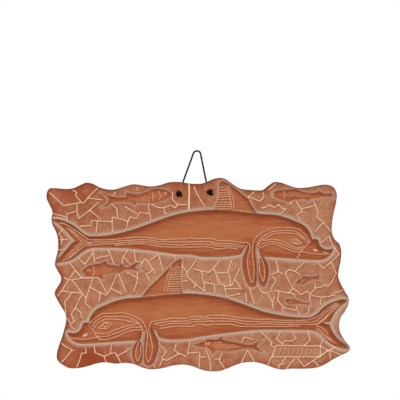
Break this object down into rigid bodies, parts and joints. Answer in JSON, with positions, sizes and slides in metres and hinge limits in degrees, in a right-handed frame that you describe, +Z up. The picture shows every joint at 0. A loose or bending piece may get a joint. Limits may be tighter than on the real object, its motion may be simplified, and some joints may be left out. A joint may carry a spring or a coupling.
{
  "type": "relief wall plaque",
  "caption": "Hand-cast terracotta wall plaque with dolphins and small fish in low relief on a paved ground, hung from a nail by a knotted black cord.",
  "frame": {"origin": "the nail: the underside of the cord's loop, where it sits on the nail", "axes": "+X to the viewer's right, +Z up, +Y towards the wall; the relief faces -Y"},
  "size_m": [0.34, 0.0174, 0.2486],
  "materials": {
    "terracotta": "unglazed fired clay with a pale wash in its hollows",
    "cord": "smooth round black cord, slightly waxed"
  },
  "bodies": {
    "root": {"terracotta_plaque": "terracotta", "hanging_cord": "cord", "knot_left": "cord", "knot_right": "cord"}
  },
  "joints": []
}
